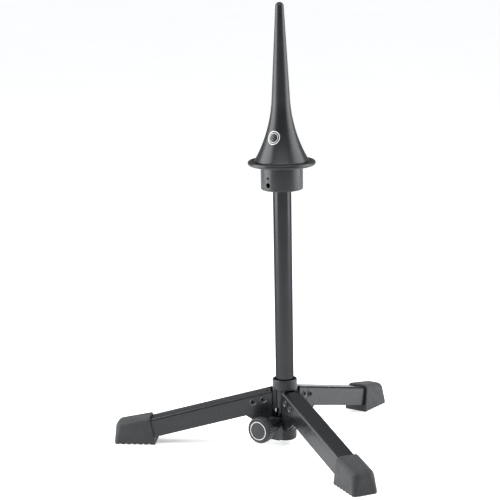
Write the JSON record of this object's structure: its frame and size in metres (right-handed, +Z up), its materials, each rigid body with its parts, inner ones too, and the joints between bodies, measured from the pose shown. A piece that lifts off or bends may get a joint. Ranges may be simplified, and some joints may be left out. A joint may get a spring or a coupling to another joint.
{
  "type": "trumpet stand",
  "caption": "Folding tabletop stand for a trumpet: tapered peg with a flange on a slim column, channel legs with rubber feet and a side clamp knob.",
  "frame": {"origin": "on the floor under the column axis", "axes": "+Z up the column; +X towards the right-hand legs as seen in the reference view, so one leg points along -X"},
  "size_m": [0.2369, 0.2726, 0.3886],
  "materials": {
    "tube": "gloss black powder coat",
    "cup": "satin moulded black",
    "peg": "fine matte moulded black",
    "hub": "satin black paint",
    "collar": "satin moulded black",
    "knob": "satin moulded black with grip flutes",
    "cap": "semi-gloss plain cap",
    "leg": "semi-gloss black powder coat",
    "boot": "matte dark grey rubber",
    "rivet": "black oxide with bright rims",
    "link": "zinc plated",
    "screw": "zinc plated",
    "black_screw": "black oxide",
    "pad": "turned brass"
  },
  "bodies": {
    "column": {"column_tube": "tube", "hub": "hub", "hub_pin": "screw", "foot_plug": "collar", "cup": "cup", "cup_set_screw": "black_screw", "cup_pin": "black_screw", "peg_cone": "peg", "peg_screw": "screw"},
    "slide_collar": {"collar": "collar"},
    "pad": {"pressure_pad": "pad"},
    "clamp_knob": {"clamp_screw": "screw", "knob": "knob", "knob_cap": "cap"},
    "left_leg": {"leg_left": "leg", "boot_left": "boot", "rivets_left": "rivet"},
    "left_link": {"link_left": "link", "link_pin_left": "link"},
    "front_leg": {"leg_front": "leg", "boot_front": "boot", "rivets_front": "rivet"},
    "front_link": {"link_front": "link", "link_pin_front": "link"},
    "right_leg": {"leg_right": "leg", "boot_right": "boot", "rivets_right": "rivet"},
    "right_link": {"link_right": "link", "link_pin_right": "link"}
  },
  "joints": [
    {"name": "fold_left", "type": "hinge", "parent": "column", "child": "left_leg", "pos_m": [-0.0183, 0, 0.0421], "axis": [0, 1, 0], "range_deg": [0, 103.5]},
    {"name": "link_turn_left", "type": "hinge", "parent": "left_leg", "child": "left_link", "pos_m": [-0.0274, 0, 0.03975], "axis": [0, 1, 0], "range_deg": [-82, 0]},
    {"name": "fold_front", "type": "hinge", "parent": "column", "child": "front_leg", "pos_m": [0.00915, -0.01585, 0.0421], "axis": [-0.866, -0.5, 0], "range_deg": [0, 103.5]},
    {"name": "link_turn_front", "type": "hinge", "parent": "front_leg", "child": "front_link", "pos_m": [0.0137, -0.02373, 0.03975], "axis": [-0.866, -0.5, 0], "range_deg": [-82, 0]},
    {"name": "fold_right", "type": "hinge", "parent": "column", "child": "right_leg", "pos_m": [0.00915, 0.01585, 0.0421], "axis": [0.866, -0.5, 0], "range_deg": [0, 103.5]},
    {"name": "link_turn_right", "type": "hinge", "parent": "right_leg", "child": "right_link", "pos_m": [0.0137, 0.02373, 0.03975], "axis": [0.866, -0.5, 0], "range_deg": [-82, 0]},
    {"name": "collar_slide", "type": "slide", "parent": "column", "child": "slide_collar", "axis": [0, 0, 1], "range_m": [0, 0.0069]},
    {"name": "pad_slide", "type": "slide", "parent": "slide_collar", "child": "pad", "axis": [-0.5, -0.866, 0], "range_m": [0, 0.00201]},
    {"name": "knob_turn", "type": "hinge", "parent": "pad", "child": "clamp_knob", "pos_m": [-0.0165, -0.02858, 0.0222], "axis": [-0.5, -0.866, 0], "range_deg": [0, 720]}
  ],
  "couplings": [
    {"joint": "link_turn_left", "follows": "fold_left", "ratio": -0.78},
    {"joint": "link_turn_front", "follows": "fold_left", "ratio": -0.78},
    {"joint": "fold_front", "follows": "fold_left", "ratio": 1},
    {"joint": "link_turn_right", "follows": "fold_left", "ratio": -0.78},
    {"joint": "fold_right", "follows": "fold_left", "ratio": 1},
    {"joint": "collar_slide", "follows": "fold_left", "m_per_rad": 0.00375},
    {"joint": "pad_slide", "follows": "knob_turn", "m_per_rad": 0.00015915}
  ]
}
